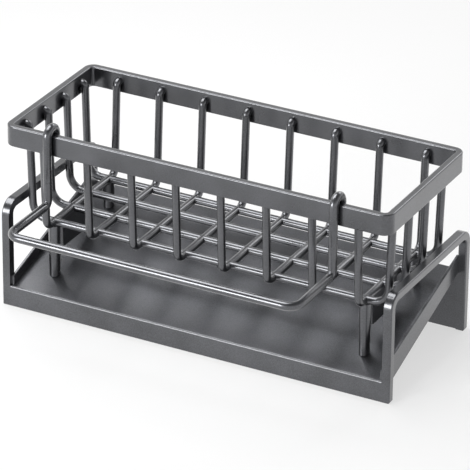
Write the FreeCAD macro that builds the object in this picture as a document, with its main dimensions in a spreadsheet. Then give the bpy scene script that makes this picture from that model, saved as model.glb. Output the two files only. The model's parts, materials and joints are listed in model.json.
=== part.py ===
import FreeCAD, Part
import math
import os
import re
import Sketcher
from FreeCAD import Vector

# Sponge holder: a wire basket on pegs over a sloping drip tray, with a cloth rail hooked on its rim.
# Millimetres, +X to the right, +Y to the back, +Z up. The origin is on the worktop, under the middle of
# the whole object, cloth rail included. Every body is drawn about its own centre and set in place after.

lengths = {
    # end frames: square bar bent to an upright frame at each end of the base
    "baseLength": 236.0,
    "baseDepth": 97.6,
    "frameHeight": 62.4,
    "barWidth": 4.8,
    "barDepth": 4.8,
    "barEdge": 0.8,
    "frameBend": 6.3,
    "frameDrop": 1.0,
    "footRound": 0.7,
    # tray: one folded sheet between the frames
    "sheetThickness": 1.7,
    "stripHeight": 12.0,
    "trayRear": 36.8,
    "panelInset": 2.4,
    "foldEdge": 1.2,
    "wallFoot": 3.0,
    "wallRiseFront": 5.2,
    "wallRiseRear": 8.2,
    "crestEdge": 0.5,
    # rim of the basket: flat bar bent to a rounded rectangle
    "basketForward": 2.3,
    "rimSetIn": 2.5,
    "rimDepth": 93.3,
    "rimTop": 109.1,
    "rimHeight": 12.0,
    "rimThickness": 3.9,
    "rimCorner": 6.0,
    "rimEdge": 0.8,
    # basket wires
    "wireDiameter": 4.4,
    "stubDrop": 5.1,
    "topBend": 2.35,
    "floorHeight": 48.7,
    "weldGap": 0.02,
    "crossMargin": 17.1,
    "crossInset": 2.35,
    "crossTaper": 2.6,
    "crossBend": 5.0,
    "longFront": 13.3,
    "longRear": 11.9,
    "longInset": 2.35,
    "longTaper": 1.5,
    "longBend": 9.0,
    # pegs under the basket
    "pegTopDiameter": 6.6,
    "pegFootDiameter": 6.0,
    "pegChamfer": 0.9,
    "pegGrip": 1.0,
    "footGap": 0.3,
    # webs under the outermost cross wires
    "webThickness": 1.6,
    "webFoot": 29.8,
    "webFront": 7.8,
    "webRear": 3.8,
    "webCorner": 1.5,
    "webGrip": 0.4,
    # cloth rail
    "rodDiameter": 4.8,
    "hookGap": 0.3,
    "hookTail": 10.6,
    "hookInset": 8.9,
    "railAside": 1.1,
    "railReach": 45.0,
    "railLevel": 69.1,
    "railBend": 3.6,
    "railCorner": 7.0,
    "tipEdge": 1.2,
    # every cut runs past the solid by this much
    "overrun": 5.0,
}
crossCount = 8
longCount = 4
# edges are picked for rounding by place, to within this share of a millimetre
nearness = 1e-4

doc = FreeCAD.newDocument("SpongeHolder")
sheet = doc.addObject("Spreadsheet::Sheet", "sizes")
for row, (alias, length) in enumerate(lengths.items(), 1):
    sheet.set(f"A{row}", alias)
    sheet.set(f"B{row}", str(length))
    sheet.setAlias(f"B{row}", alias)
doc.recompute()

# Places that several pieces share, as expressions in the sheet's names
originShift = "((basketForward + rimDepth / 2 + railReach + rodDiameter / 2 - baseDepth / 2) / 2)"
basketCentre = f"({originShift} - basketForward)"
trayRearFace = "(baseDepth / 2 - panelInset)"
traySlope = "((trayRear - stripHeight) / (baseDepth - panelInset))"
floorDepth = f"(sheetThickness * sqrt(1 + {traySlope} ^ 2))"
rimLength = "(baseLength - 2 * rimSetIn)"
rimInnerDepth = "(rimDepth / 2 - rimThickness)"
rimInnerLength = f"({rimLength} / 2 - rimThickness)"
stubHeight = "(rimTop - stubDrop)"
saddleRadius = "(wireDiameter / 2 + weldGap)"
outerCross = f"({rimInnerLength} - crossMargin)"
crossPitch = f"(2 * {outerCross} / {crossCount - 1})"
longPitch = f"((2 * {rimInnerDepth} - longFront - longRear) / {longCount - 1})"
railSpan = f"(2 * ({outerCross} - hookInset))"


def cross_place(number):
    """Place of a cross wire along the basket, from its middle."""
    return f"({number} * {crossPitch} - {outerCross})"


def long_place(number):
    """Place of a long wire across the basket, from its middle."""
    return f"(longFront - {rimInnerDepth} + {number} * {longPitch})"


def tray_top(across):
    """Height of the sloping floor's upper face at a place measured back from the base's centre."""
    return f"(stripHeight + {traySlope} * ({across} + baseDepth / 2))"


def bound(text):
    """Puts the sheet's name before each of its sizes in an expression."""
    return re.sub(r"[A-Za-z]+", lambda word: f"sizes.{word[0]}" if word[0] in lengths else word[0], text)


def measure(text):
    """Value of an expression in the sheet's names."""
    return float(sheet.evalExpression(bound(text)))


def new_body(label, x="0", y="0"):
    """A sub-part with its place tied to the sheet."""
    body = doc.addObject("PartDesign::Body", label)
    body.Label = label
    body.setExpression(".Placement.Base.x", bound(x))
    body.setExpression(".Placement.Base.y", bound(y))
    return body


def origin_part(body, role):
    return next(item for item in body.Origin.OriginFeatures if item.Role == role)


def new_sketch(body, name, role, offset="0"):
    """A sketch on one of the body's own origin planes, moved along that plane's normal."""
    sketch = body.newObject("Sketcher::SketchObject", name)
    sketch.AttachmentSupport = [(origin_part(body, role), "")]
    sketch.MapMode = "FlatFace"
    sketch.setExpression(".AttachmentOffset.Base.z", bound(offset))
    return sketch


def pin(sketch, piece, end, across, up):
    """Ties one point of a sketch to two expressions."""
    for kind, axis, text in (("DistanceX", -2, across), ("DistanceY", -1, up)):
        if text == "0":
            sketch.addConstraint(Sketcher.Constraint("PointOnObject", piece, end, axis))
        else:
            index = sketch.addConstraint(Sketcher.Constraint(kind, -1, 1, piece, end, measure(text)))
            sketch.setExpression(f"Constraints[{index}]", bound(text))


def set_radius(sketch, piece, text):
    index = sketch.addConstraint(Sketcher.Constraint("Radius", piece, measure(text)))
    sketch.setExpression(f"Constraints[{index}]", bound(text))


def draw_circle(sketch, across, up, radius):
    centre = Vector(measure(across), measure(up), 0)
    piece = sketch.addGeometry(Part.Circle(centre, Vector(0, 0, 1), measure(radius)))
    pin(sketch, piece, 3, across, up)
    set_radius(sketch, piece, radius)


def draw_half_disc(sketch, across, up, radius, turn):
    """Half of a round section, closed by a level chord; turn is the angle at which the half starts."""
    centre = Vector(measure(across), measure(up), 0)
    circle = Part.Circle(centre, Vector(0, 0, 1), measure(radius))
    arc = sketch.addGeometry(Part.ArcOfCircle(circle, turn, turn + math.pi))
    chord = sketch.addGeometry(Part.LineSegment(sketch.getPoint(arc, 1), sketch.getPoint(arc, 2)))
    for end in (1, 2):
        sketch.addConstraint(Sketcher.Constraint("Coincident", arc, end, chord, end))
        sketch.addConstraint(Sketcher.Constraint("Horizontal", arc, end, arc, 3))
    pin(sketch, arc, 3, across, up)
    set_radius(sketch, arc, radius)


def draw_line(sketch, start, end):
    ends = [Vector(measure(across), measure(up), 0) for across, up in (start, end)]
    return sketch.addGeometry(Part.LineSegment(*ends))


def round_corner(sketch, edge, corner, radius):
    """Rounds the corner at an edge's end and ties the corner itself and the radius to the sheet."""
    sketch.fillet(edge, 2, measure(radius), True, True)
    arc, point = sketch.GeometryCount - 2, sketch.GeometryCount - 1
    pin(sketch, point, 1, *corner)
    set_radius(sketch, arc, radius)


def draw_path(sketch, corners, radii):
    """An open line through corners, each inner corner rounded."""
    edges = [draw_line(sketch, start, end) for start, end in zip(corners, corners[1:])]
    for edge, following in zip(edges, edges[1:]):
        sketch.addConstraint(Sketcher.Constraint("Coincident", edge, 2, following, 1))
    for edge, corner, radius in zip(edges, corners[1:], radii):
        round_corner(sketch, edge, corner, radius)
    pin(sketch, edges[0], 1, *corners[0])
    pin(sketch, edges[-1], 2, *corners[-1])


def draw_outline(sketch, corners, radii=None):
    """A closed outline through corners; radii maps a corner's number to its rounding."""
    radii = radii or {}
    count = len(corners)
    edges = [draw_line(sketch, corners[i - 1], corners[i]) for i in range(count)]
    for i in range(count):
        sketch.addConstraint(Sketcher.Constraint("Coincident", edges[i], 2, edges[(i + 1) % count], 1))
    for i in range(count):
        if i in radii:
            round_corner(sketch, edges[i], corners[i], radii[i])
        else:
            pin(sketch, edges[i], 2, *corners[i])


def draw_rounded_box(sketch, width, depth, radius, up="0"):
    """A rectangle with rounded corners, centred across and at a height."""
    right, back = f"({width} / 2)", f"({up} + {depth} / 2)"
    left, front = f"(-{width} / 2)", f"({up} - {depth} / 2)"
    corners = [(left, front), (right, front), (right, back), (left, back)]
    draw_outline(sketch, corners, {i: radius for i in range(len(corners))})


def add_pad(body, name, sketch, length, side="One side"):
    pad = body.newObject("PartDesign::Pad", name)
    pad.Profile = sketch
    pad.SideType = side
    pad.setExpression("Length", bound(length))
    return pad


def add_cut(body, name, sketch, length):
    """A pocket that runs both ways from its sketch; it has to take something away."""
    doc.recompute()
    before = body.Shape.Volume
    pocket = body.newObject("PartDesign::Pocket", name)
    pocket.Profile = sketch
    pocket.SideType = "Symmetric"
    pocket.setExpression("Length", bound(length))
    doc.recompute()
    if body.Shape.Volume >= before:
        raise RuntimeError(f"{body.Label}: {name} cuts nothing")


def add_pipe(body, name, section, path):
    pipe = body.newObject("PartDesign::AdditivePipe", name)
    pipe.Profile = section
    pipe.Spine = (path, [])
    return pipe


def add_mirror(body, name, feature, role):
    mirror = body.newObject("PartDesign::Mirrored", name)
    mirror.Originals = [feature]
    mirror.MirrorPlane = (origin_part(body, role), [""])
    body.Tip = mirror


def add_fillet(body, name, radius, wanted):
    """Rounds the edges of the solid so far for which wanted(edge) is true."""
    doc.recompute()
    base = body.Tip
    names = [f"Edge{i}" for i, edge in enumerate(base.Shape.Edges, 1) if wanted(edge)]
    fillet = body.newObject("PartDesign::Fillet", name)
    fillet.Base = (base, names)
    fillet.setExpression("Radius", bound(radius))


def level(edge, height):
    """True where a whole edge lies at one height."""
    box = edge.BoundBox
    return abs(box.ZMin - height) < nearness and abs(box.ZMax - height) < nearness


def make_end_frame(label, xSign):
    """A bar bent to an upright frame, a little lower at the back, with its outer edges and feet rounded."""
    body = new_body(label, f"({xSign} * (baseLength - barWidth) / 2)", originShift)
    post = "((baseDepth - barDepth) / 2)"
    top = "(frameHeight - barDepth / 2)"
    path = new_sketch(body, label + "_path", "YZ_Plane")
    corners = [(f"-{post}", "0"), (f"-{post}", top), (post, f"({top} - frameDrop)"), (post, "0")]
    draw_path(path, corners, ["frameBend"] * 2)
    outer, inner = f"({xSign} * barWidth / 2)", f"(-{xSign} * barWidth / 2)"
    front, back = f"(-{post} - barDepth / 2)", f"(-{post} + barDepth / 2)"
    section = new_sketch(body, label + "_section", "XY_Plane")
    draw_outline(section, [(inner, front), (outer, front), (outer, back), (inner, back)],
                 {1: "barEdge", 2: "barEdge"})
    add_pipe(body, label + "_bar", section, path)
    beyond, within = f"({outer} + {xSign} * overrun)", f"({outer} - {xSign} * 2 * footRound)"
    foot = new_sketch(body, label + "_foot", "XZ_Plane")
    draw_outline(foot, [(outer, "0"), (outer, "(2 * footRound)"), (beyond, "(2 * footRound)"),
                        (beyond, "-overrun"), (within, "-overrun"), (within, "0")], {0: "footRound"})
    add_cut(body, label + "_feet", foot, "(baseDepth + 2 * overrun)")


def make_tray():
    body = new_body("tray", "0", originShift)
    front, rear = "(-baseDepth / 2)", trayRearFace
    frontInner, rearInner = f"({front} + sheetThickness)", f"({rear} - sheetThickness)"
    underside = {place: f"({tray_top(place)} - {floorDepth})" for place in (frontInner, rearInner)}
    profile = new_sketch(body, "tray_profile", "YZ_Plane")
    corners = [(front, "0"), (front, "stripHeight"), (rear, "trayRear"), (rear, "0"), (rearInner, "0"),
               (rearInner, underside[rearInner]), (frontInner, underside[frontInner]), (frontInner, "0")]
    draw_outline(profile, corners, {1: "foldEdge", 2: "foldEdge"})
    add_pad(body, "tray_sheet", profile, "(baseLength - 2 * barWidth)", "Symmetric")
    wallRear = f"({rear} - foldEdge)"
    wall = new_sketch(body, "tray_wall_outline", "YZ_Plane", "(baseLength / 2 - barWidth - sheetThickness)")
    crestFront = f"({tray_top(frontInner)} + wallRiseFront)"
    crestRear = f"({tray_top(wallRear)} + wallRiseRear)"
    draw_outline(wall, [(frontInner, "wallFoot"), (rearInner, underside[rearInner]),
                        (wallRear, tray_top(wallRear)), (wallRear, crestRear), (frontInner, crestFront)])
    flange = add_pad(body, "tray_wall", wall, "sheetThickness")
    doc.recompute()
    add_mirror(body, "tray_other_wall", flange, "YZ_Plane")
    crest = [measure(crestFront), measure(crestRear)]

    def on_crest(edge):
        ends = sorted(vertex.Z for vertex in edge.Vertexes)
        return len(ends) == 2 and all(abs(z - goal) < nearness for z, goal in zip(ends, crest))

    add_fillet(body, "tray_crests", "crestEdge", on_crest)


def make_rim():
    body = new_body("rim_band", "0", basketCentre)
    outline = new_sketch(body, "rim_outline", "XY_Plane", "(rimTop - rimHeight)")
    draw_rounded_box(outline, rimLength, "rimDepth", "rimCorner")
    draw_rounded_box(outline, f"(2 * {rimInnerLength})", f"(2 * {rimInnerDepth})", "(rimCorner - rimThickness)")
    add_pad(body, "rim_bar", outline, "rimHeight")
    heights = [measure("rimTop"), measure("rimTop - rimHeight")]
    add_fillet(body, "rim_edges", "rimEdge", lambda edge: any(level(edge, height) for height in heights))


def make_wire(body, label, plane, sectionPlane, sectionOffset, reach, inset, taper, bend):
    """A round wire: a stub out of the rim, down, along the floor, up and back into the rim."""
    top, low = f"({reach} - {inset})", f"({reach} - {inset} - {taper})"
    path = new_sketch(body, label + "_path", plane)
    corners = [(f"-{reach}", stubHeight), (f"-{top}", stubHeight), (f"-{low}", "floorHeight"),
               (low, "floorHeight"), (top, stubHeight), (reach, stubHeight)]
    draw_path(path, corners, ["topBend", bend, bend, "topBend"])
    section = new_sketch(body, label + "_section", sectionPlane, sectionOffset)
    draw_circle(section, "0", stubHeight, "(wireDiameter / 2)")
    add_pipe(body, label + "_round", section, path)


def halve(body, label, plane, places, turn):
    """Takes half the depth out of a wire at each crossing, so that both sets of wires lie level."""
    seats = new_sketch(body, label + "_seats", plane)
    for place in places:
        draw_half_disc(seats, place, "floorHeight", saddleRadius, turn)
    add_cut(body, label + "_halving", seats, "(wireDiameter + 2 * overrun)")


def make_cross_wire(number):
    """A cross wire, halved from below where it passes over the long wires."""
    label = f"cross_wire_{number + 1}"
    body = new_body(label, cross_place(number), basketCentre)
    make_wire(body, label, "YZ_Plane", "XZ_Plane", rimInnerDepth, rimInnerDepth, "crossInset", "crossTaper",
              "crossBend")
    halve(body, label, "YZ_Plane", [long_place(row) for row in range(longCount)], math.pi)


def make_long_wire(number):
    """A long wire, halved from above where it passes under the cross wires."""
    label = f"long_wire_{number + 1}"
    body = new_body(label, "0", f"({basketCentre} + {long_place(number)})")
    make_wire(body, label, "XZ_Plane", "YZ_Plane", f"-{rimInnerLength}", rimInnerLength, "longInset",
              "longTaper", "longBend")
    halve(body, label, "XZ_Plane", [cross_place(row) for row in range(crossCount)], 0)


def make_peg(label, xSign, number):
    """A tapered peg under a crossing, seated on both wires and cut off along the tray's slope."""
    along = long_place(number)
    body = new_body(label, f"({xSign} * {outerCross})", f"({basketCentre} + {along})")
    foot = f"({tray_top(f'({along} - basketForward)')} + footGap)"
    drop = f"({traySlope} * pegTopDiameter)"
    top = "(floorHeight - wireDiameter / 2 + pegGrip)"
    profile = new_sketch(body, label + "_profile", "XZ_Plane")
    draw_outline(profile, [("0", f"({foot} - {drop})"), ("(pegFootDiameter / 2)", f"({foot} - {drop})"),
                           ("(pegTopDiameter / 2)", f"({top} - pegChamfer)"),
                           ("(pegTopDiameter / 2 - pegChamfer)", top), ("0", top)])
    turned = body.newObject("PartDesign::Revolution", label + "_turned")
    turned.Profile = profile
    turned.ReferenceAxis = (profile, ["V_Axis"])
    for way, plane in (("cross", "XZ_Plane"), ("long", "YZ_Plane")):
        seat = new_sketch(body, f"{label}_{way}_seat", plane)
        draw_circle(seat, "0", "floorHeight", saddleRadius)
        add_cut(body, f"{label}_{way}_saddle", seat, "(pegTopDiameter + 2 * overrun)")
    slope = new_sketch(body, label + "_slope", "YZ_Plane")
    low = f"({foot} - {drop} - overrun)"
    draw_outline(slope, [("-pegTopDiameter", f"({foot} - {drop})"), ("pegTopDiameter", f"({foot} + {drop})"),
                         ("pegTopDiameter", low), ("-pegTopDiameter", low)])
    add_cut(body, label + "_foot", slope, "(pegTopDiameter + 2 * overrun)")


def make_web(label, xSign):
    """An upright plate that hangs under an outermost cross wire, notched round the long wire it crosses."""
    body = new_body(label, f"({xSign} * {outerCross})", basketCentre)
    front = f"({long_place(0)} + webFront)"
    rear = f"({long_place(2)} - webRear)"
    top = "(floorHeight - wireDiameter / 2 + webGrip)"
    outline = new_sketch(body, label + "_outline", "YZ_Plane")
    draw_outline(outline, [(front, "webFoot"), (rear, "webFoot"), (rear, top), (front, top)],
                 {0: "webCorner", 1: "webCorner"})
    add_pad(body, label + "_plate", outline, "webThickness", "Symmetric")
    seat = new_sketch(body, label + "_seat", "XZ_Plane")
    draw_circle(seat, "0", "floorHeight", saddleRadius)
    add_cut(body, label + "_saddle", seat, "(rimDepth + 2 * overrun)")
    notch = new_sketch(body, label + "_notch", "YZ_Plane")
    draw_circle(notch, long_place(1), "floorHeight", saddleRadius)
    add_cut(body, label + "_notch_cut", notch, "(webThickness + 2 * overrun)")


def make_cloth_rail():
    """One bent rod: hook tail, arch over the rim, leg, arm, front bar and the same back again."""
    label = "cloth_rail"
    body = new_body(label, "(-railAside)", basketCentre)
    side = f"(-{railSpan} / 2)"
    leg = "(-(rimDepth / 2 + hookGap + rodDiameter / 2))"
    tail = f"(-({rimInnerDepth} - hookGap - rodDiameter / 2))"
    bar = "(-(rimDepth / 2 + railReach))"
    middle = f"(({leg} + {bar}) / 2)"
    arch = "(rimTop - rimEdge)"
    tip = "(rimTop - hookTail)"
    hook = new_sketch(body, "rail_hook_path", "YZ_Plane", side)
    rise = draw_line(hook, (tail, tip), (tail, arch))
    crown = Vector(measure(f"({tail} + {leg}) / 2"), measure(arch) + measure(f"({tail} - {leg}) / 2"), 0)
    start, end = Vector(measure(tail), measure(arch), 0), Vector(measure(leg), measure(arch), 0)
    bow = hook.addGeometry(Part.Arc(start, crown, end))
    fall = draw_line(hook, (leg, arch), (leg, "railLevel"))
    arm = draw_line(hook, (leg, "railLevel"), (middle, "railLevel"))
    hook.addConstraint(Sketcher.Constraint("Tangent", rise, 2, bow, 1))
    hook.addConstraint(Sketcher.Constraint("Coincident", bow, 2, fall, 1))
    hook.addConstraint(Sketcher.Constraint("Coincident", fall, 2, arm, 1))
    pin(hook, rise, 1, tail, tip)
    pin(hook, rise, 2, tail, arch)
    pin(hook, fall, 1, leg, arch)
    round_corner(hook, fall, (leg, "railLevel"), "railBend")
    pin(hook, arm, 2, middle, "railLevel")
    hookSection = new_sketch(body, "rail_hook_section", "XY_Plane", tip)
    draw_circle(hookSection, side, tail, "(rodDiameter / 2)")
    hookRod = add_pipe(body, "rail_hook", hookSection, hook)
    doc.recompute()
    add_mirror(body, "rail_other_hook", hookRod, "YZ_Plane")
    front = new_sketch(body, "rail_front_path", "XY_Plane", "railLevel")
    other = f"({railSpan} / 2)"
    draw_path(front, [(side, middle), (side, bar), (other, bar), (other, middle)], ["railCorner"] * 2)
    frontSection = new_sketch(body, "rail_front_section", "XZ_Plane", f"-{middle}")
    draw_circle(frontSection, side, "railLevel", "(rodDiameter / 2)")
    add_pipe(body, "rail_front", frontSection, front)
    tipHeight = measure(tip)
    add_fillet(body, "rail_tips", "tipEdge", lambda edge: level(edge, tipHeight))


make_tray()
make_end_frame("left_end_frame", -1)
make_end_frame("right_end_frame", 1)
make_rim()
for number in range(crossCount):
    make_cross_wire(number)
for number in range(longCount):
    make_long_wire(number)
for sideName, xSign in (("left", -1), ("right", 1)):
    for endName, row in (("front", 0), ("rear", longCount - 1)):
        make_peg(f"{endName}_{sideName}_peg", xSign, row)
    make_web(f"{sideName}_web", xSign)
make_cloth_rail()
doc.recompute()

failed = [item.Name for item in doc.Objects if {"Invalid", "Error"} & set(item.State)]
bodies = [item for item in doc.Objects if item.TypeId == "PartDesign::Body"]
failed += [body.Label for body in bodies if body.Shape.isNull() or not body.Shape.isValid()]
failed += [body.Label for body in bodies if len(body.Shape.Solids) != 1]
if failed:
    raise RuntimeError("not built: " + ", ".join(failed))
os.makedirs("parts", exist_ok=True)
for body in bodies:
    body.Shape.exportStep(f"parts/{body.Label}.step")
    print(f"{body.Label}: {body.Shape.Volume:.1f} cubic millimetres")
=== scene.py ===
import bpy
import json
import math
import numpy as np
from mathutils import Matrix, Vector

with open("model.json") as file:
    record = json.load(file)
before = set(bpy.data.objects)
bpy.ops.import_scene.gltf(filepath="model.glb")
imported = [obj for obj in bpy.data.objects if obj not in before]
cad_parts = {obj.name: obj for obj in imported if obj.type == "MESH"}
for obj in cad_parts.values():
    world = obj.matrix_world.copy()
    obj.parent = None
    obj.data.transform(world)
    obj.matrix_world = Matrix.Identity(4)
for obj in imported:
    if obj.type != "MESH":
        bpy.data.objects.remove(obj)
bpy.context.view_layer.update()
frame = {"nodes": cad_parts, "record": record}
print("frame loaded:", len(frame["nodes"]), "nodes")

millimetre = 0.001


def toLinear(hexColour):
    # sRGB hex to linear light, by the two-part sRGB curve
    parts = np.array([int(hexColour[at:at + 2], 16) for at in (1, 3, 5)]) / 255
    light = np.where(parts <= 0.04045, parts / 12.92, ((parts + 0.055) / 1.055) ** 2.4)
    return (*light.tolist(), 1.0)


def addNode(tree, kind, settings=None, links=None):
    # one node: a setting is an input's constant where an input has that name, else a property
    node = tree.nodes.new(kind)
    for name, value in (settings or {}).items():
        if name in node.inputs:
            node.inputs[name].default_value = value
        else:
            setattr(node, name, value)
    for name, socket in (links or {}).items():
        tree.links.new(socket, node.inputs[name])
    return node


# Gunmetal powder coat: aluminium flakes in a clear polyester binder, sprayed on as powder and baked.
# It gives the eye a dark grey that lightens where it faces a lamp, crisp lines of light from the
# binder's skin over a soft glow from the flakes, and a faint orange peel.
powderCoat = {
    "deep": "#4c4d50",          # between flakes
    "flake": "#606165",         # where flakes lie flat
    "metallic": 1.0,
    "roughness": 0.30,          # the flakes' own spread
    "drift": 0.03,              # how far the roughness wanders with the spray's thickness
    "skin": 1.0,                # how much of the binder's gloss shows
    "skinRoughness": 0.16,
    "flakeSize": 0.6,           # mm, real flakes are 0.03: drawn coarse, or they would not show
    "cloudSize": 22.0,          # mm, slow drift of the spray's thickness
    "peelSize": 1.4,            # mm, the orange peel's waves
    "peelDepth": 0.002,         # mm
    "detail": {"flake": 1.0, "cloud": 3.0, "peel": 1.0},   # finer layers in each pattern's noise
    "noiseRange": (0.3, 0.7),   # what one noise mostly spans
    "sumRange": (0.7, 1.3),     # what two noises added together mostly span
}
# the Mix node's sockets for colours: first, second and result
mixFirst, mixSecond, mixResult = 6, 7, 2


def makePowderCoat(name, spread=0.0, peel=1.0):
    # spread adds to the flakes' roughness, peel scales the depth of the orange peel
    coat = powderCoat
    material = bpy.data.materials.new(name)
    material.use_nodes = True
    tree = material.node_tree
    tree.nodes.clear()
    place = addNode(tree, "ShaderNodeTexCoord").outputs["Object"]
    noise = {}
    for pattern, detail in coat["detail"].items():
        size = coat[pattern + "Size"] * millimetre
        noise[pattern] = addNode(tree, "ShaderNodeTexNoise", {"Scale": 1 / size, "Detail": detail},
                                 {"Vector": place}).outputs["Fac"]
    both = addNode(tree, "ShaderNodeMath", {"operation": "ADD"})
    tree.links.new(noise["flake"], both.inputs[0])
    tree.links.new(noise["cloud"], both.inputs[1])
    share = addNode(tree, "ShaderNodeMapRange",
                    {"From Min": coat["sumRange"][0], "From Max": coat["sumRange"][1]},
                    {"Value": both.outputs[0]})
    colour = addNode(tree, "ShaderNodeMix", {"data_type": "RGBA"})
    colour.inputs[mixFirst].default_value = toLinear(coat["deep"])
    colour.inputs[mixSecond].default_value = toLinear(coat["flake"])
    tree.links.new(share.outputs[0], colour.inputs[0])
    rough = addNode(tree, "ShaderNodeMapRange",
                    {"From Min": coat["noiseRange"][0], "From Max": coat["noiseRange"][1],
                     "To Min": coat["roughness"] + spread - coat["drift"],
                     "To Max": coat["roughness"] + spread + coat["drift"]},
                    {"Value": noise["cloud"]})
    bump = addNode(tree, "ShaderNodeBump",
                   {"Strength": 1.0, "Distance": coat["peelDepth"] * peel * millimetre},
                   {"Height": noise["peel"]})
    skin = addNode(tree, "ShaderNodeBsdfPrincipled",
                   {"Metallic": coat["metallic"], "Coat Weight": coat["skin"],
                    "Coat Roughness": coat["skinRoughness"]},
                   {"Base Color": colour.outputs[mixResult], "Roughness": rough.outputs[0],
                    "Normal": bump.outputs[0], "Coat Normal": bump.outputs[0]})
    addNode(tree, "ShaderNodeOutputMaterial", links={"Surface": skin.outputs[0]})
    return material


# one coat for each kind of stock: flat sheet looks softest, round stock crispest
finishes = {
    "coated_sheet": makePowderCoat("powderCoatOnSheet", spread=0.09),
    "coated_bar": makePowderCoat("powderCoatOnBar"),
    "coated_wire": makePowderCoat("powderCoatOnWire", peel=0.7),
    "coated_rod": makePowderCoat("powderCoatOnRod", spread=-0.02, peel=0.7),
}
slotOf = {part["node"]: part["material_slot"] for part in frame["record"]["subparts"]}
for node, obj in frame["nodes"].items():
    for slot in obj.material_slots:
        slot.material = finishes[slotOf[node]]
print("finishes on:", len(frame["nodes"]), "nodes")

# The floor is pale and matt. The eye and shiny metal see it lifted towards white, with a soft shadow.
floorBoard = {
    "halfSize": 4.0,       # m
    "drop": 0.0002,        # m, how far it lies under the object's feet
    "colour": "#ececec",
    "lift": 0.6,           # how much of white is mixed in for the eye and for shiny metal
}


def seenDirectly(tree):
    # 1 for the camera's rays and for those in shiny or clear surfaces, 0 for light that spreads
    path = addNode(tree, "ShaderNodeLightPath")
    seen = addNode(tree, "ShaderNodeMath", {"operation": "ADD"})
    tree.links.new(path.outputs["Is Camera Ray"], seen.inputs[0])
    tree.links.new(path.outputs["Is Glossy Ray"], seen.inputs[1])
    allSeen = addNode(tree, "ShaderNodeMath", {"operation": "ADD", "use_clamp": True})
    tree.links.new(seen.outputs[0], allSeen.inputs[0])
    tree.links.new(path.outputs["Is Transmission Ray"], allSeen.inputs[1])
    return allSeen.outputs[0]


def makeFloor():
    half, low = floorBoard["halfSize"], -floorBoard["drop"]
    mesh = bpy.data.meshes.new("floor")
    mesh.from_pydata([(-half, -half, low), (half, -half, low), (half, half, low), (-half, half, low)],
                     [], [(0, 1, 2, 3)])
    floor = bpy.data.objects.new("floor", mesh)
    bpy.context.scene.collection.objects.link(floor)
    material = bpy.data.materials.new("paleMattPaper")
    material.use_nodes = True
    tree = material.node_tree
    tree.nodes.clear()
    matt = addNode(tree, "ShaderNodeBsdfDiffuse", {"Color": toLinear(floorBoard["colour"])})
    white = addNode(tree, "ShaderNodeEmission", {"Strength": 1.0})
    lift = addNode(tree, "ShaderNodeMath", {"operation": "MULTIPLY"})
    tree.links.new(seenDirectly(tree), lift.inputs[0])
    lift.inputs[1].default_value = floorBoard["lift"]
    both = addNode(tree, "ShaderNodeMixShader")
    tree.links.new(lift.outputs[0], both.inputs[0])
    tree.links.new(matt.outputs[0], both.inputs[1])
    tree.links.new(white.outputs[0], both.inputs[2])
    addNode(tree, "ShaderNodeOutputMaterial", links={"Surface": both.outputs[0]})
    mesh.materials.append(material)


makeFloor()

# The room: pale walls under a dim ceiling, so that tops catch the wall and the tray stays dark
room = {
    "colour": "#ffffff",
    "wall": 1.15,          # brightness at the horizon, where white paper has 1
    "ceiling": 0.22,       # brightness overhead
    "rise": 0.9,           # where the wall has turned to ceiling, of 1 straight up
}


def makeRoom():
    # brightness falls from wall to ceiling by a smooth step on the height of the view's direction
    world = bpy.data.worlds.new("studio")
    bpy.context.scene.world = world
    world.use_nodes = True
    tree = world.node_tree
    tree.nodes.clear()
    place = addNode(tree, "ShaderNodeTexCoord").outputs["Generated"]
    height = addNode(tree, "ShaderNodeSeparateXYZ", links={"Vector": place}).outputs["Z"]
    level = addNode(tree, "ShaderNodeMapRange",
                    {"interpolation_type": "SMOOTHSTEP", "From Min": 0.0, "From Max": room["rise"],
                     "To Min": room["wall"], "To Max": room["ceiling"]}, {"Value": height})
    back = addNode(tree, "ShaderNodeBackground", {"Color": toLinear(room["colour"])},
                   {"Strength": level.outputs[0]})
    addNode(tree, "ShaderNodeOutputWorld", links={"Surface": back.outputs[0]})


makeRoom()

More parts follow.
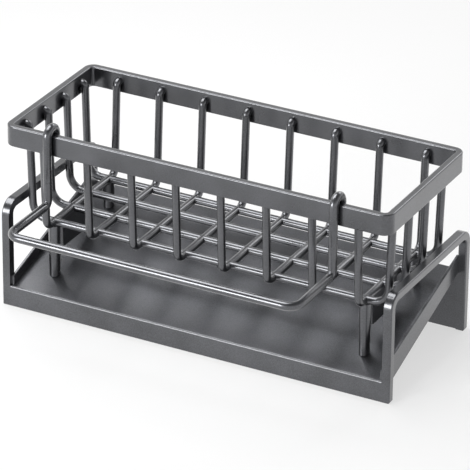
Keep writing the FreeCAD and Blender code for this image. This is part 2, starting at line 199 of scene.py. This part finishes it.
# Soft boxes, in metres: towards is the way from the object's middle to the lamp, and glow is the
# lamp's brightness, where white paper has 1
middle = Vector((0, 0.02, 0.055))
softBoxes = {
    "topBox": {"towards": (-0.41, 0.02, 0.91), "away": 0.6, "width": 0.42, "height": 0.5, "glow": 5.4},
    "frontPanel": {"towards": (-0.41, -0.88, 0.25), "away": 1.3, "width": 0.5, "height": 0.44, "glow": 13.0},
    "backPanel": {"towards": (0.12, 0.79, 0.60), "away": 1.3, "width": 0.6, "height": 0.35, "glow": 3.4},
}


def makeSoftBoxes():
    # a flat lamp's power is its brightness times pi times its area
    for name, box in softBoxes.items():
        data = bpy.data.lights.new(name, "AREA")
        data.shape = "RECTANGLE"
        data.size = box["width"]
        data.size_y = box["height"]
        data.energy = box["glow"] * math.pi * box["width"] * box["height"]
        lamp = bpy.data.objects.new(name, data)
        bpy.context.scene.collection.objects.link(lamp)
        towards = Vector(box["towards"]).normalized()
        turn = towards.to_track_quat("Z", "Y").to_matrix().to_4x4()
        lamp.matrix_world = Matrix.Translation(middle + towards * box["away"]) @ turn


makeSoftBoxes()
print("stage and lamps made")

# The camera: where the photograph was taken from, worked out from the object's straight edges
photoCamera = {
    "eye": (0.88121, -1.66183, 1.00876),   # m, in the frame
    "yaw": 0.48164,                        # radians, turned to the left of +Y
    "pitch": 0.46721,                      # radians, down from level
    "roll": 0.010276,                      # radians
    "focalPixels": 3931.05,
    "imagePixels": 470,
}


def makeCamera():
    shot = photoCamera
    yaw, pitch, roll = shot["yaw"], shot["pitch"], shot["roll"]
    forward = Vector((-math.sin(yaw) * math.cos(pitch), math.cos(yaw) * math.cos(pitch), -math.sin(pitch)))
    level = Vector((math.cos(yaw), math.sin(yaw), 0))
    upright = level.cross(forward)
    right = math.cos(roll) * level + math.sin(roll) * upright
    up = math.cos(roll) * upright - math.sin(roll) * level
    data = bpy.data.cameras.new("photoCamera")
    data.lens = data.sensor_width * shot["focalPixels"] / shot["imagePixels"]
    camera = bpy.data.objects.new("photoCamera", data)
    bpy.context.scene.collection.objects.link(camera)
    columns = Matrix((right, up, -forward)).transposed().to_4x4()
    camera.matrix_world = Matrix.Translation(shot["eye"]) @ columns
    bpy.context.scene.camera = camera


makeCamera()
bpy.context.scene.view_settings.view_transform = "Standard"
print("camera set")

bpy.context.view_layer.update()
